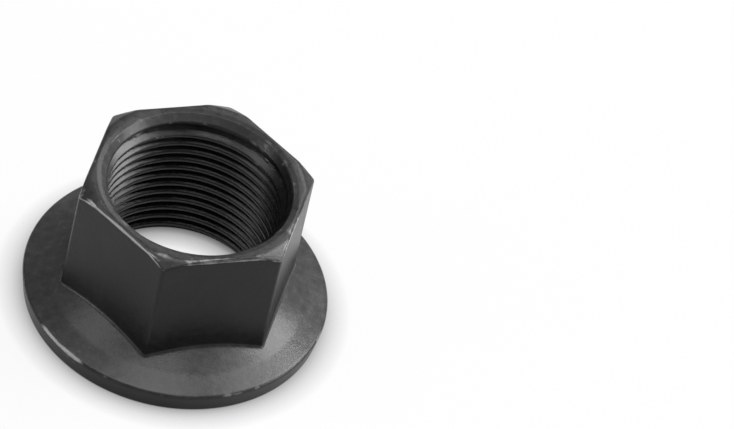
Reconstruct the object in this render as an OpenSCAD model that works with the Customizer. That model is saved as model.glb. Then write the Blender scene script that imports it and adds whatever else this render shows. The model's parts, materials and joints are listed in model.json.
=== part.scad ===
// Hexagonal flange nut for an axle end: one forged piece, standing on its bearing face.
// The origin is the middle of the bearing face and +Z runs up the thread.

/* [Thread] */
// Outside diameter of the axle thread that the nut takes
thread_d = 24; // [20:0.5:25]
// Pitch of the thread
thread_pitch = 1.5; // [1:0.25:3]
// How much wider than the thread the mouth of the top countersink is
top_over = 0.7; // [0.2:0.1:1.2]
// How much wider than the thread the shallow lip round that mouth is
lip_over = 1.8; // [1.4:0.1:2.2]
// Depth of the lip
lip_depth = 0.13; // [0.05:0.01:0.3]
// How much wider than the thread the mouth of the countersink in the bearing face is
bearing_over = 0.7; // [0.2:0.1:2]
// Full angle of the top countersink, which is a steep one
top_angle = 45; // [40:5:120]
// Full angle of the countersink in the bearing face
bearing_angle = 90; // [60:5:120]

/* [Hexagon] */
// Size across the flats, which is the size of the socket
across_flats = 27; // [26:0.5:30]
// Height of the whole nut, from the bearing face to the top face
height = 21.5; // [15:0.5:30]
// Radius that rounds the six upright corners
corner_r = 0.6; // [0.3:0.1:1.2]
// How much wider than the flats the turned circle on the top face is
crown_over = 0.8; // [0.2:0.1:1.6]
// Slope of the turned crown that takes the tips off the corners
crown_slope = 33; // [20:1:40]

/* [Flange] */
// Diameter of the flange
flange_d = 39.4; // [37:0.2:48]
// Height at which the outer cone would reach the full diameter, if the edge were sharp
rim_h = 2.75; // [2:0.25:4]
// Draft of the rim, which draws in towards its foot
rim_draft = 10; // [0:1:15]
// Radius on the upper edge of the rim
rim_edge_r = 0.45; // [0.2:0.05:0.8]
// Radius on the foot of the rim
rim_foot_r = 0.3; // [0.1:0.05:0.6]
// Slope of the outer cone, which runs in from the rim
outer_slope = 21; // [10:1:27]
// How far outside the corners of the hexagon the two cones meet
knee_over = 1.3; // [0.5:0.1:1.8]
// Slope of the inner cone, on which the hexagon stands
inner_slope = 28; // [22:1:40]

/* [Hidden] */
$fn = 96;
// How far a cutter runs past the faces that it cuts
overrun = 1;
// The wall of the bore is the crest of the thread
bore_r = (thread_d - 1.0825 * thread_pitch) / 2;
flat_r = across_flats / 2;
tip_r = flat_r / cos(30);
flange_r = flange_d / 2;
// The two cones of the flange meet at the knee, and the inner one meets the flats at their middles here
knee_r = tip_r + knee_over;
knee_z = rim_h + (flange_r - knee_r) * tan(outer_slope);
foot_z = knee_z + (knee_r - flat_r) * tan(inner_slope);
steel = "#3a3b3d";

// Points along an arc round c, from one angle to another
function arc(c, r, from, to, steps = 6) =
    [for (i = [0 : steps]) c + r * [cos(from + (to - from) * i / steps), sin(from + (to - from) * i / steps)]];

// Half section of the flange: bearing face, drafted rim with rounded edges, outer cone, inner cone
module flange_section() {
    edge_z = rim_h - rim_edge_r * (1 - sin(outer_slope)) / cos(outer_slope);
    edge_c = [flange_r - rim_edge_r, edge_z];
    // where the drafted rim would meet the bearing face
    foot_x = edge_c.x + rim_edge_r * cos(rim_draft) - (edge_z - rim_edge_r * sin(rim_draft)) * tan(rim_draft);
    foot_c = [foot_x - rim_foot_r * tan((90 - rim_draft) / 2), rim_foot_r];
    polygon(concat(
        [[0, 0]],
        arc(foot_c, rim_foot_r, -90, -rim_draft),
        arc(edge_c, rim_edge_r, -rim_draft, 90 - outer_slope),
        [[knee_r, knee_z], [flat_r, foot_z], [0, foot_z]]
    ));
}

module flange() {
    rotate_extrude() flange_section();
}

// The hexagon from above, with a round corner where each pair of flats meets
module hexagon_outline() {
    core_r = (flat_r - corner_r) / cos(30);
    polygon([for (i = [0 : 5], side = [0, 60])
        core_r * [cos(60 * i + 30), sin(60 * i + 30)] + corner_r * [cos(60 * i + side), sin(60 * i + side)]]);
    for (i = [0 : 5]) rotate(60 * i + 30) translate([core_r, 0]) circle(corner_r);
}

// The turned shape that the top of the hexagon is cut to: a flat face and a cone round it
module crown_blank() {
    crown_r = flat_r + crown_over / 2;
    rim_r = tip_r + overrun;
    rotate_extrude() polygon([
        [0, 0], [rim_r, 0],
        [rim_r, height - (rim_r - crown_r) * tan(crown_slope)],
        [crown_r, height], [0, height]
    ]);
}

module hexagon() {
    intersection() {
        translate([0, 0, rim_h]) linear_extrude(height - rim_h) hexagon_outline();
        crown_blank();
    }
}

// The bore at the crest of the thread, with a countersink at each end and a lip round the top one
module bore() {
    low_lean = tan(bearing_angle / 2);
    top_lean = tan(top_angle / 2);
    low_r = (thread_d + bearing_over) / 2;
    top_r = (thread_d + top_over) / 2;
    lip_r = (thread_d + lip_over) / 2;
    top_z = height - lip_depth;
    lip_rise = lip_depth / (lip_r - top_r);
    rotate_extrude() polygon([
        [0, -overrun],
        [low_r + overrun * low_lean, -overrun],
        [bore_r, (low_r - bore_r) / low_lean],
        [bore_r, top_z - (top_r - bore_r) / top_lean],
        [top_r, top_z],
        [lip_r + overrun, height + overrun * lip_rise],
        [0, height + overrun]
    ]);
}

module axle_nut() {
    color(steel) difference() {
        union() {
            flange();
            hexagon();
        }
        bore();
    }
}

axle_nut();
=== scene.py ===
import json
from collections import namedtuple
from math import atan2, ceil, cos, degrees, pi, radians, sin, tan

import bmesh
import bpy
from mathutils import Matrix, Vector


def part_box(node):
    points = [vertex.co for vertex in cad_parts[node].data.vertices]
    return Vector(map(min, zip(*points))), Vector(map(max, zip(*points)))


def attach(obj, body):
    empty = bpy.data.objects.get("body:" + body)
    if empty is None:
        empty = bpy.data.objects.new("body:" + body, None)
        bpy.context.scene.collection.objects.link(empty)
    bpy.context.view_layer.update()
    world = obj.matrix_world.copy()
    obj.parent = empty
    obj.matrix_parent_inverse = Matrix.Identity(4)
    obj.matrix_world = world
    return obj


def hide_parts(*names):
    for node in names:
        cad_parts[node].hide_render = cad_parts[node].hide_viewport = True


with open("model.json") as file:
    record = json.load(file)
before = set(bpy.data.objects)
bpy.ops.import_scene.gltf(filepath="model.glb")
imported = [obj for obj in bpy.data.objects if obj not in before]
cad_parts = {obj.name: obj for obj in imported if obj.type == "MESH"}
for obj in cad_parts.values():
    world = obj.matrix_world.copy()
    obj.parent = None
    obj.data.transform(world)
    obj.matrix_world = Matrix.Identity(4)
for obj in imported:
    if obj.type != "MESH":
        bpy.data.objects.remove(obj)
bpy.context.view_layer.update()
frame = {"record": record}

# The forged body of the nut.
# One piece of steel with its flange: a hexagon for the socket, on a flange of two cones with a drafted rim.
# The top is turned, with a crown that takes the tips off the corners and a shallow lip round the mouth of
# the countersink. Lengths are in millimetres until the mesh is done.
mounts = {m["name"]: m for m in frame["record"]["mounts"]}
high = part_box("axle_nut")[1] * 1000
height = high.z
flange_r = high.x
flat_r = mounts["wrench_flat"]["pos_m"][0] * 1000
crest_r = mounts["thread"]["dims"]["r_mm"]
pitch = 1.5
thread_depth = 0.5413 * pitch
root_r = crest_r + thread_depth
corner_r = 0.6
crown_over = 0.4
crown_r = flat_r + crown_over
crown_fall = tan(radians(33))
# over the middles of the flats the crown is no more than a chamfer of this width and drop
least_width = 0.35
least_drop = 0.3
mouth_r = 12.35
lip_depth = 0.13
mouth_z = height - lip_depth
lip_r = 12.9
# the countersink is a smooth band that leans in by this much for each mm down to the top of the thread
band_lean = tan(radians(40))
band_drop = 1.04
thread_top = mouth_z - band_drop
band_foot_r = mouth_r - (mouth_z - thread_top) * band_lean
thread_foot = 0.3
outer_slope = radians(21)
outer_fall = tan(outer_slope)
inner_fall = tan(radians(28))
rim_h = 2.75
draft = radians(10)
rim_edge_r = 0.45
knee_over = 1.3
knee_r = flat_r / cos(pi / 6) + knee_over
knee_z = rim_h + (flange_r - knee_r) * outer_fall
# where the rounded edge of the rim meets the drafted side, and where the cone and that side would meet
edge_z = rim_h - rim_edge_r * (1 - sin(outer_slope)) / cos(outer_slope)
touch = Vector((flange_r - rim_edge_r + rim_edge_r * cos(draft), edge_z - rim_edge_r * sin(draft)))
rim_r = (touch.x + (rim_h + flange_r * outer_fall - touch.y) * tan(draft)) / (1 + outer_fall * tan(draft))

# The corners of the half section, from the foot of the countersink, over the top, round the flange and
# under it to the foot of the thread: the radius of the rounding and its steps, the rows on the stretch
# that follows, how far the edge is worn, and how much painted light the face that follows has. That is
# painted light and shade by face: pale on the band and flange, middling on the top and underside, dark on
# the flats and rim.
Corner = namedtuple("Corner", "name radius steps rows worn rubbed")
corners = [
    Corner("band", 0, 0, 2, 0.35, 1.0), Corner("mouth", 0.12, 3, 1, 0.45, 0.6),
    Corner("lip", 1.0, 3, 1, 0.1, 0.6), Corner("crown", 0.5, 4, 2, 0.2, 0.6),
    Corner("shoulder", 0.35, 4, 9, 0.5, 0.0), Corner("foot", 0.6, 8, 1, 0.0, 1.0),
    Corner("knee", 5.0, 4, 3, 0.0, 1.0), Corner("rim", rim_edge_r, 6, 3, 0.3, 0.1),
    Corner("sole", 0.3, 4, 3, 0.2, 0.5), Corner("seat", 0.12, 2, 1, 0.2, 0.5),
    Corner("end", 0, 0, 0, 0.0, 0.3),
]
# where an edge is worn more than the rest of it, partly real wear and partly a painted highlight along the
# edge: the bearing in degrees, how far each way, and how much more
wear_and_highlights = {
    "mouth": [(240, 40, 0.1)],
    "crown": [(286, 26, 0.4), (335, 22, 0.2)],
    "shoulder": [(240, 29, 1.2), (300, 22, 0.2), (342, 20, 0.25)],
    "rim": [(237, 13, 1.05), (350, 8, 0.2)],
}
# where painted shade and shadow darken the bore, a painted shadow down the right wall and painted shade deep
# in the far wall and low down: the bearing, how far each way, the height it reaches, and how much
bore_shade = [(10, 48, 99, 1.0), (98, 56, 18.6, 0.5), (125, 90, 8, 0.7)]
bore_shade_fade = 3
# the edge of the crown is rounded more where it runs across the top, at the corners of the hexagon
crown_softening = 0.6
# on a face narrower than this the wear of both its edges spreads right across
wear_width = 3
# the upright corners are worn this far each way, between these heights
post_worn = radians(2.2)
post_foot = knee_z + 1.6
post_top = height - 0.5
# how far they are worn all along, and how much more towards the top, where a socket grips first
post_wear = 0.05
post_top_wear = 0.4
# the first and last rows on a stretch lie this far from its ends, or this share of it where it is short
hold = 0.3
hold_share = 0.3
columns = 300
# how strongly the columns draw in towards the upright corners, where the outline turns sharply
gather = 0.78


def clamped(value):
    """A value held between 0 and 1."""
    return min(max(value, 0), 1)


def column_angle(share):
    """The angle of a column that is a share of the way round."""
    angle = 2 * pi * share
    return angle - gather / 6 * sin(6 * (angle - pi / 6))


def from_flat(angle):
    """The angle from the middle of the nearest flat, without its sign."""
    return abs((angle + pi / 6) % (pi / 3) - pi / 6)


def away_from(bearing, angle):
    """The degrees between a bearing in degrees and an angle in radians."""
    return abs((degrees(angle) - bearing + 180) % 360 - 180)


def outline(turn):
    """How far the hexagon reaches at an angle from the middle of the nearest flat."""
    core = flat_r - corner_r
    if flat_r * tan(turn) <= core * tan(pi / 6):
        return flat_r / cos(turn)
    post = core / cos(pi / 6)
    lean = pi / 6 - turn
    return post * cos(lean) + (corner_r ** 2 - (post * sin(lean)) ** 2) ** 0.5


def rounded(before, corner, after, radius, steps):
    """Points on the arc that rounds one corner of a section."""
    into, away = (before - corner).normalized(), (after - corner).normalized()
    half = into.angle(away) / 2
    middle = corner + (into + away).normalized() * radius / sin(half)
    first, last = (corner + side * radius / tan(half) - middle for side in (into, away))
    return [middle + first.lerp(last, i / steps).normalized() * radius for i in range(steps + 1)]


def along(start, end, rows):
    """Points on a straight stretch, the first and last close to its ends to keep the edges crisp."""
    way = end - start
    keep = way.normalized() * min(hold, way.length * hold_share)
    return [start + keep + (way - 2 * keep) * i / rows for i in range(rows + 1)]


def bore_shaded(angle, z):
    """How far painted shade and shadow darken the bore at a place, from 0 to 1."""
    most = 0
    for bearing, spread, reached, much in bore_shade:
        beside = clamped((spread - away_from(bearing, angle)) / spread * 4)
        most = max(most, much * beside * clamped((reached - z) / bore_shade_fade))
    return most


def worn_at(name, worn, angle):
    """How far an edge is worn at an angle, partly as a painted highlight. An extra patch is full over the
    middle two thirds of its spread.
    """
    for bearing, spread, more in wear_and_highlights.get(name, []):
        worn += more * min(1, 3 * max(0, 1 - away_from(bearing, angle) / spread))
    return worn


def section(angle):
    """The half section at an angle: places, with how far each is worn and how much painted light it has."""
    reach = outline(from_flat(angle))
    points = {
        "band": Vector((band_foot_r, thread_top)),
        "mouth": Vector((mouth_r, mouth_z)),
        "lip": Vector((lip_r, height)),
        "crown": Vector((min(crown_r, reach - least_width), height)),
        "shoulder": Vector((reach, height - max(crown_fall * (reach - crown_r), least_drop))),
        "foot": Vector((reach, knee_z + (knee_r - reach) * inner_fall)),
        "knee": Vector((knee_r, knee_z)),
        "rim": Vector((rim_r, rim_h + (flange_r - rim_r) * outer_fall)),
        "sole": Vector((touch.x - touch.y * tan(draft), 0)),
        "seat": Vector((mouth_r, 0)),
        "end": Vector((mouth_r - thread_foot, thread_foot)),
    }
    at = [points[corner.name] for corner in corners]
    arcs = []
    for i, corner in enumerate(corners):
        radius = corner.radius
        if corner.name == "crown":
            radius += (reach - flat_r) * crown_softening
        arcs.append(rounded(at[i - 1], at[i], at[i + 1], radius, corner.steps) if corner.steps else [at[i]])
    worn = [worn_at(corner.name, corner.worn, angle) for corner in corners]
    rows = []
    for i, (corner, arc) in enumerate(zip(corners, arcs)):
        painted_light_before, rubbed = corners[i - 1].rubbed, corner.rubbed
        if corner.name == "band":
            # painted shade in the bore also darkens the foot of the countersink and takes off its wear
            unshaded = 1 - bore_shaded(angle, thread_top)
            worn[i] *= unshaded
            painted_light_before = rubbed = rubbed * unshaded
        for j, place in enumerate(arc):
            # a rounded edge is worn most in its middle
            most = worn[i] * sin(pi * (j + 0.5) / len(arc))
            rows.append((place, most, painted_light_before + (rubbed - painted_light_before) * j / max(len(arc) - 1, 1)))
        if corner.rows:
            start, end = arc[-1], arcs[i + 1][0]
            length = (end - start).length
            across = max(0, 1 - length / wear_width)
            for place in along(start, end, corner.rows):
                share = (place - start).length / length
                rows.append((place, across * (worn[i] + (worn[i + 1] - worn[i]) * share), rubbed))
    return rows


def spun(bm, points, **how):
    """Turns a chain of points round the axis. Each vertex keeps the number of its row."""
    row = bm.verts.layers.int.get("row") or bm.verts.layers.int.new("row")
    chain = []
    for i, p in enumerate(points):
        vertex = bm.verts.new((p.x, 0, p.y))
        vertex[row] = i
        chain.append(vertex)
    edges = [bm.edges.new(pair) for pair in zip(chain, chain[1:])]
    bmesh.ops.spin(
        bm, geom=chain + edges, cent=(0, 0, 0), axis=(0, 0, 1), angle=2 * pi, steps=columns, **how
    )
    return row


blank = bmesh.new()
row = spun(blank, [place for place, *_ in section(0)], use_merge=True)
wear = blank.verts.layers.float.new("wear")
rub = blank.verts.layers.float.new("rub")
blank.verts.layers.float.new("oil")
sections = {}
for vertex in blank.verts:
    column = round(atan2(vertex.co.y, vertex.co.x) / (2 * pi) * columns) % columns
    angle = column_angle(column / columns)
    if column not in sections:
        sections[column] = section(angle)
    place, worn, rubbed = sections[column][vertex[row]]
    vertex.co = (place.x * cos(angle), place.x * sin(angle), place.y)
    if post_foot < place.y < post_top and place.x > flat_r - 0.01:
        beside = abs(pi / 6 - from_flat(angle)) / post_worn
        worn = max(worn, (1 - beside) * (post_wear + post_top_wear * (place.y / height) ** 8))
    vertex[wear] = worn
    vertex[rub] = rubbed

# The thread in the bore.
# A right-handed M24 x 1.5 thread, cut after the forging and coated with the rest. Its last crest runs out
# in a groove under the top countersink, and it starts straight from the countersink in the bearing face.
crest_z = 18.1
crest_flat = pitch / 8
# how far a flank sinks for each mm along the axis, and the small rounding where it leaves the crest
flank_fall = 1.732
soft = 0.04
# a crest that is higher than this fades within a short rise into a groove that is deeper than the roots
last_crest_z = 19.0
crest_fade = 0.4
groove_deeper = 0.25
groove_slope = 1.8
# how far the crests are worn, and how pale the roots are painted, with how much less on the crests: the
# paler roots are painted fill light in the grooves
crest_wear = 0.35
root_painted_light = 0.85
crest_less = 0.1
# the rows of one turn, up from a quarter of the pitch under its crest, closer where the wall bends
turn_rows = [0, 0.13, 0.19, 0.25, 0.43, 0.6, 0.66, 0.75, 0.84, 0.9, 1.07, 1.25, 1.31, 1.37]
# vertices closer than this are one
merge = 0.0005


def thread_radius(z, angle):
    """The wall of the bore at a height and an angle."""
    off = (z - crest_z - pitch * (angle - pi / 2) / (2 * pi) + pitch / 2) % pitch - pitch / 2
    rise = (abs(off) - crest_flat) * flank_fall
    if rise > soft:
        wall = min(crest_r + rise, root_r)
    else:
        wall = crest_r + soft * max(0, (rise + soft) / (2 * soft)) ** 2
    left = clamped((last_crest_z - (z - off)) / crest_fade)
    wall = root_r + (wall - root_r) * left + groove_deeper * (1 - left)
    return max(min(wall, band_foot_r + (thread_top - z) * groove_slope), mouth_r - z)


cut = bmesh.new()
turns = range(ceil((thread_foot - crest_z) / pitch) - 2, ceil((thread_top - crest_z) / pitch) + 1)
heights = [crest_z + pitch * (turn - 0.25) + rise for turn in turns for rise in turn_rows]
row_of_cut = spun(cut, [Vector((crest_r, z)) for z in heights], dvec=(0, 0, pitch / columns))
worn_cut = cut.verts.layers.float.new("wear")
painted_tone_cut = cut.verts.layers.float.new("rub")
oiled_cut = cut.verts.layers.float.new("oil")
for vertex in cut.verts:
    # the spin lifts each column a little more, which tells how far round it is
    share = round((vertex.co.z - heights[vertex[row_of_cut]]) / pitch * columns) / columns
    angle = column_angle(share)
    z = heights[vertex[row_of_cut]] + pitch * angle / (2 * pi)
    z = min(max(z, thread_foot), thread_top)
    wall = thread_radius(z, angle)
    vertex.co = (wall * cos(angle), wall * sin(angle), z)
    # painted shade and shadow in parts of the bore
    unshaded = 1 - bore_shaded(angle, z)
    on_crest = (root_r - wall) / (root_r - crest_r)
    # the upper quarter of a ridge is worn, and so is the foot of the countersink
    vertex[worn_cut] = crest_wear * unshaded * (1 if z >= thread_top else max(0, 4 * on_crest - 3))
    # the coat's tone: painted shade in the bore, and roots painted paler than the crests as fill light in
    # the grooves
    vertex[painted_tone_cut] = unshaded * (root_painted_light - crest_less * on_crest)
    vertex[oiled_cut] = 1.0

cut_mesh = bpy.data.meshes.new("cut")
cut.to_mesh(cut_mesh)
blank.from_mesh(cut_mesh)
cut.free()
bpy.data.meshes.remove(cut_mesh)
bmesh.ops.remove_doubles(blank, verts=blank.verts, dist=merge)
bmesh.ops.dissolve_degenerate(blank, dist=merge, edges=blank.edges)
bmesh.ops.recalc_face_normals(blank, faces=blank.faces)
for vertex in blank.verts:
    vertex.co *= 0.001
nut_mesh = bpy.data.meshes.new("axle_nut_dressed")
blank.to_mesh(nut_mesh)
blank.free()
nut_mesh.shade_smooth()
nut = bpy.data.objects.new("axle_nut_dressed", nut_mesh)
bpy.context.scene.collection.objects.link(nut)
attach(nut, "root")
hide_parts("axle_nut")

# The finish of the nut.
# A dark phosphate coat, mottled and a little oily, with painted light and shade by face: paler on the band,
# flange and thread roots, darker on the flats and rim. Worn edges show bare steel, partly as painted
# highlights, and painted shade and shadow darken the coat in parts of the bore.
steel = bpy.data.materials.new("blackened_steel")
steel.use_nodes = True
links = steel.node_tree.links
shader = steel.node_tree.nodes["Principled BSDF"]
shader.inputs["Metallic"].default_value = 0.0
shader.inputs["Specular IOR Level"].default_value = 0.25


def made(material, kind, **values):
    """A node with its settings and the fixed values of its sockets."""
    node = material.node_tree.nodes.new(kind)
    for name, value in values.items():
        if hasattr(node, name):
            setattr(node, name, value)
        else:
            node.inputs[name.replace("_", " ")].default_value = value
    return node


where = made(steel, "ShaderNodeTexCoord")


def grains(scale, detail, rough=0.5):
    """A noise over the piece, with about one grain for each 1/scale of a metre."""
    grain = made(steel, "ShaderNodeTexNoise", Scale=scale, Detail=detail, Roughness=rough)
    links.new(where.outputs["Object"], grain.inputs["Vector"])
    return grain.outputs["Fac"]


def painted(name):
    """What the vertices of the piece carry under a name."""
    return made(steel, "ShaderNodeAttribute", attribute_name=name).outputs["Fac"]


def between(value, low, high, to_low, to_high):
    """Stretches part of a value's range over another range."""
    stretch = made(steel, "ShaderNodeMapRange", From_Min=low, From_Max=high, To_Min=to_low, To_Max=to_high)
    links.new(value, stretch.inputs["Value"])
    return stretch.outputs["Result"]


def maths(operation, a, b):
    """The sum, or what else the operation says, of two values."""
    node = made(steel, "ShaderNodeMath", operation=operation)
    links.new(a, node.inputs[0])
    links.new(b, node.inputs[1])
    return node.outputs[0]


def mixed(amount, a, b):
    """One colour where the amount is 0, another where it is 1."""
    mix = made(steel, "ShaderNodeMix", data_type="RGBA")
    links.new(amount, mix.inputs["Factor"])
    for socket, value in (("A", a), ("B", b)):
        target = [i for i in mix.inputs if i.name == socket and i.type == "RGBA"][0]
        if isinstance(value, tuple):
            target.default_value = (*value, 1)
        else:
            links.new(value, target)
    return [o for o in mix.outputs if o.type == "RGBA"][0]


fine = grains(5200, 3)
mottle = grains(900, 4)
cloud = grains(160, 3)
patches = grains(420, 4, 0.6)
wear_and_highlight = painted("wear")
rubbed = painted("rub")
oiled = painted("oil")
bare_steel = (0.5, 0.5, 0.49)
dust = (0.05, 0.05, 0.051)
patchy = between(mottle, 0.35, 0.68, 0, 1)
dark = mixed(patchy, (0.005, 0.005, 0.0052), (0.011, 0.011, 0.0113))
pale = mixed(patchy, (0.052, 0.052, 0.0525), (0.07, 0.07, 0.0705))
# the coat is paler where painted light lies and darker where painted shade lies, with a random cloud
coat = mixed(maths("ADD", rubbed, between(cloud, 0.35, 0.7, -0.12, 0.12)), dark, pale)
coat = mixed(between(fine, 0.65, 0.8, 0, 0.3), coat, dust)
# bare steel shows on worn edges, and also stands for painted highlights along some edges
bare = between(maths("ADD", wear_and_highlight, between(patches, 0.3, 0.7, -0.4, 0.25)), 0.35, 0.95, 0, 1)
links.new(mixed(bare, coat, bare_steel), shader.inputs["Base Color"])
smooth = maths("ADD", between(rubbed, 0.0, 1.0, 0.0, 0.1), between(oiled, 0.0, 1.0, 0.0, 0.06))
links.new(maths("SUBTRACT", between(mottle, 0.3, 0.7, 0.31, 0.39), smooth), shader.inputs["Roughness"])
bump = made(steel, "ShaderNodeBump", Strength=0.25, Distance=0.00004)
skin = maths("ADD", between(fine, 0.3, 0.7, 0, 0.6), between(mottle, 0.3, 0.7, 0, 1))
links.new(skin, bump.inputs["Height"])
links.new(bump.outputs["Normal"], shader.inputs["Normal"])
nut_mesh.materials.append(steel)

# The floor.
# White paper that glows for the camera and in reflections, so that the picture's ground stays white
# without more light on the nut. Its glow darkens where the nut stands close over it, a painted contact
# shadow.
floor_half = 3
floor_drop = 0.00002
floor_mesh = bpy.data.meshes.new("floor")
ground = bmesh.new()
bmesh.ops.create_grid(ground, x_segments=1, y_segments=1, size=floor_half)
bmesh.ops.translate(ground, verts=ground.verts, vec=(0, 0, -floor_drop))
ground.to_mesh(floor_mesh)
ground.free()
floor = bpy.data.objects.new("floor", floor_mesh)
bpy.context.scene.collection.objects.link(floor)
paper = bpy.data.materials.new("paper")
paper.use_nodes = True
links = paper.node_tree.links
sheet = paper.node_tree.nodes["Principled BSDF"]
sheet.inputs["Base Color"].default_value = (0.06, 0.06, 0.06, 1)
sheet.inputs["Roughness"].default_value = 1.0
sheet.inputs["Specular IOR Level"].default_value = 0.0
rays = made(paper, "ShaderNodeLightPath")
seen = made(paper, "ShaderNodeMath", operation="MAXIMUM")
links.new(rays.outputs["Is Camera Ray"], seen.inputs[0])
links.new(rays.outputs["Is Glossy Ray"], seen.inputs[1])
glow = made(paper, "ShaderNodeMath", operation="MULTIPLY")
glow.inputs[1].default_value = 0.91
links.new(seen.outputs[0], glow.inputs[0])
links.new(glow.outputs[0], sheet.inputs["Emission Strength"])
# ambient occlusion darkens the glow under and beside the nut: a painted contact shadow
painted_contact_shadow = made(paper, "ShaderNodeAmbientOcclusion", Distance=0.0038, samples=8)
links.new(painted_contact_shadow.outputs["Color"], sheet.inputs["Emission Color"])
floor_mesh.materials.append(paper)

# The light.
# A dim, even room and seven soft boxes 1 m away. Most of the light comes from the right and from behind.
# A box is given by its azimuth from the front, its elevation and its watts.
world = bpy.data.worlds.new("room")
bpy.context.scene.world = world
world.use_nodes = True
room = world.node_tree.nodes["Background"]
room.inputs["Color"].default_value = (1, 1, 1, 1)
room.inputs["Strength"].default_value = 0.1
box_size = 0.4
boxes = {
    "right": (122, 40, 6.4), "high_right": (120, 60, 2.7), "low_right": (95, 18, 3.4),
    "back": (168, 40, 2.4), "above": (0, 85, 2.2), "low_left": (300, 12, 2.4), "high_left": (283, 60, 1.6),
}


def direction(azimuth, elevation):
    """The way to a place round the nut, given in radians."""
    return Vector((sin(azimuth) * cos(elevation), -cos(azimuth) * cos(elevation), sin(elevation)))


for name, (azimuth, elevation, watts) in boxes.items():
    lamp = bpy.data.lights.new(name, "AREA")
    lamp.shape = "SQUARE"
    lamp.size = box_size
    lamp.energy = watts
    box = bpy.data.objects.new(name, lamp)
    box.location = direction(radians(azimuth), radians(elevation))
    box.rotation_euler = box.location.to_track_quat("Z", "Y").to_euler()
    bpy.context.scene.collection.objects.link(box)

# The camera.
# A long lens 1.3 m away that looks down on the top and turns a little on its own axis.
picture_w, picture_h = 734, 429
# where the middle of the nut lies in the picture, in pixels from the left and from the top
nut_x, nut_y = 185.29, 240.47
# the scale of the picture at the nut
pixels_to_metre = 7869
distance = 1.3
sensor = 36
focal_pixels = pixels_to_metre * distance
camera_data = bpy.data.cameras.new("camera")
camera_data.sensor_width = sensor
camera_data.lens = focal_pixels / picture_w * sensor
camera_data.clip_start = 0.1
camera_data.clip_end = 10
camera = bpy.data.objects.new("camera", camera_data)
bpy.context.scene.collection.objects.link(camera)
bpy.context.scene.camera = camera
azimuth, elevation, roll = (radians(a) for a in (6.9, 45.95, 12.7))
back = direction(azimuth, elevation)
right = Vector((cos(azimuth), sin(azimuth), 0))
up = back.cross(right)
right, up = right * cos(roll) + up * sin(roll), up * cos(roll) - right * sin(roll)
level = Matrix((right, up, back)).transposed()
aim = Vector((nut_x - picture_w / 2, picture_h / 2 - nut_y, -focal_pixels)).normalized()
turned = aim.rotation_difference(Vector((0, 0, -1))).to_matrix()
camera.matrix_world = (
    Matrix.Translation(Vector((0, 0, height / 2000)) + back * distance) @ (level @ turned).to_4x4()
)

bpy.context.scene.view_settings.view_transform = "Standard"
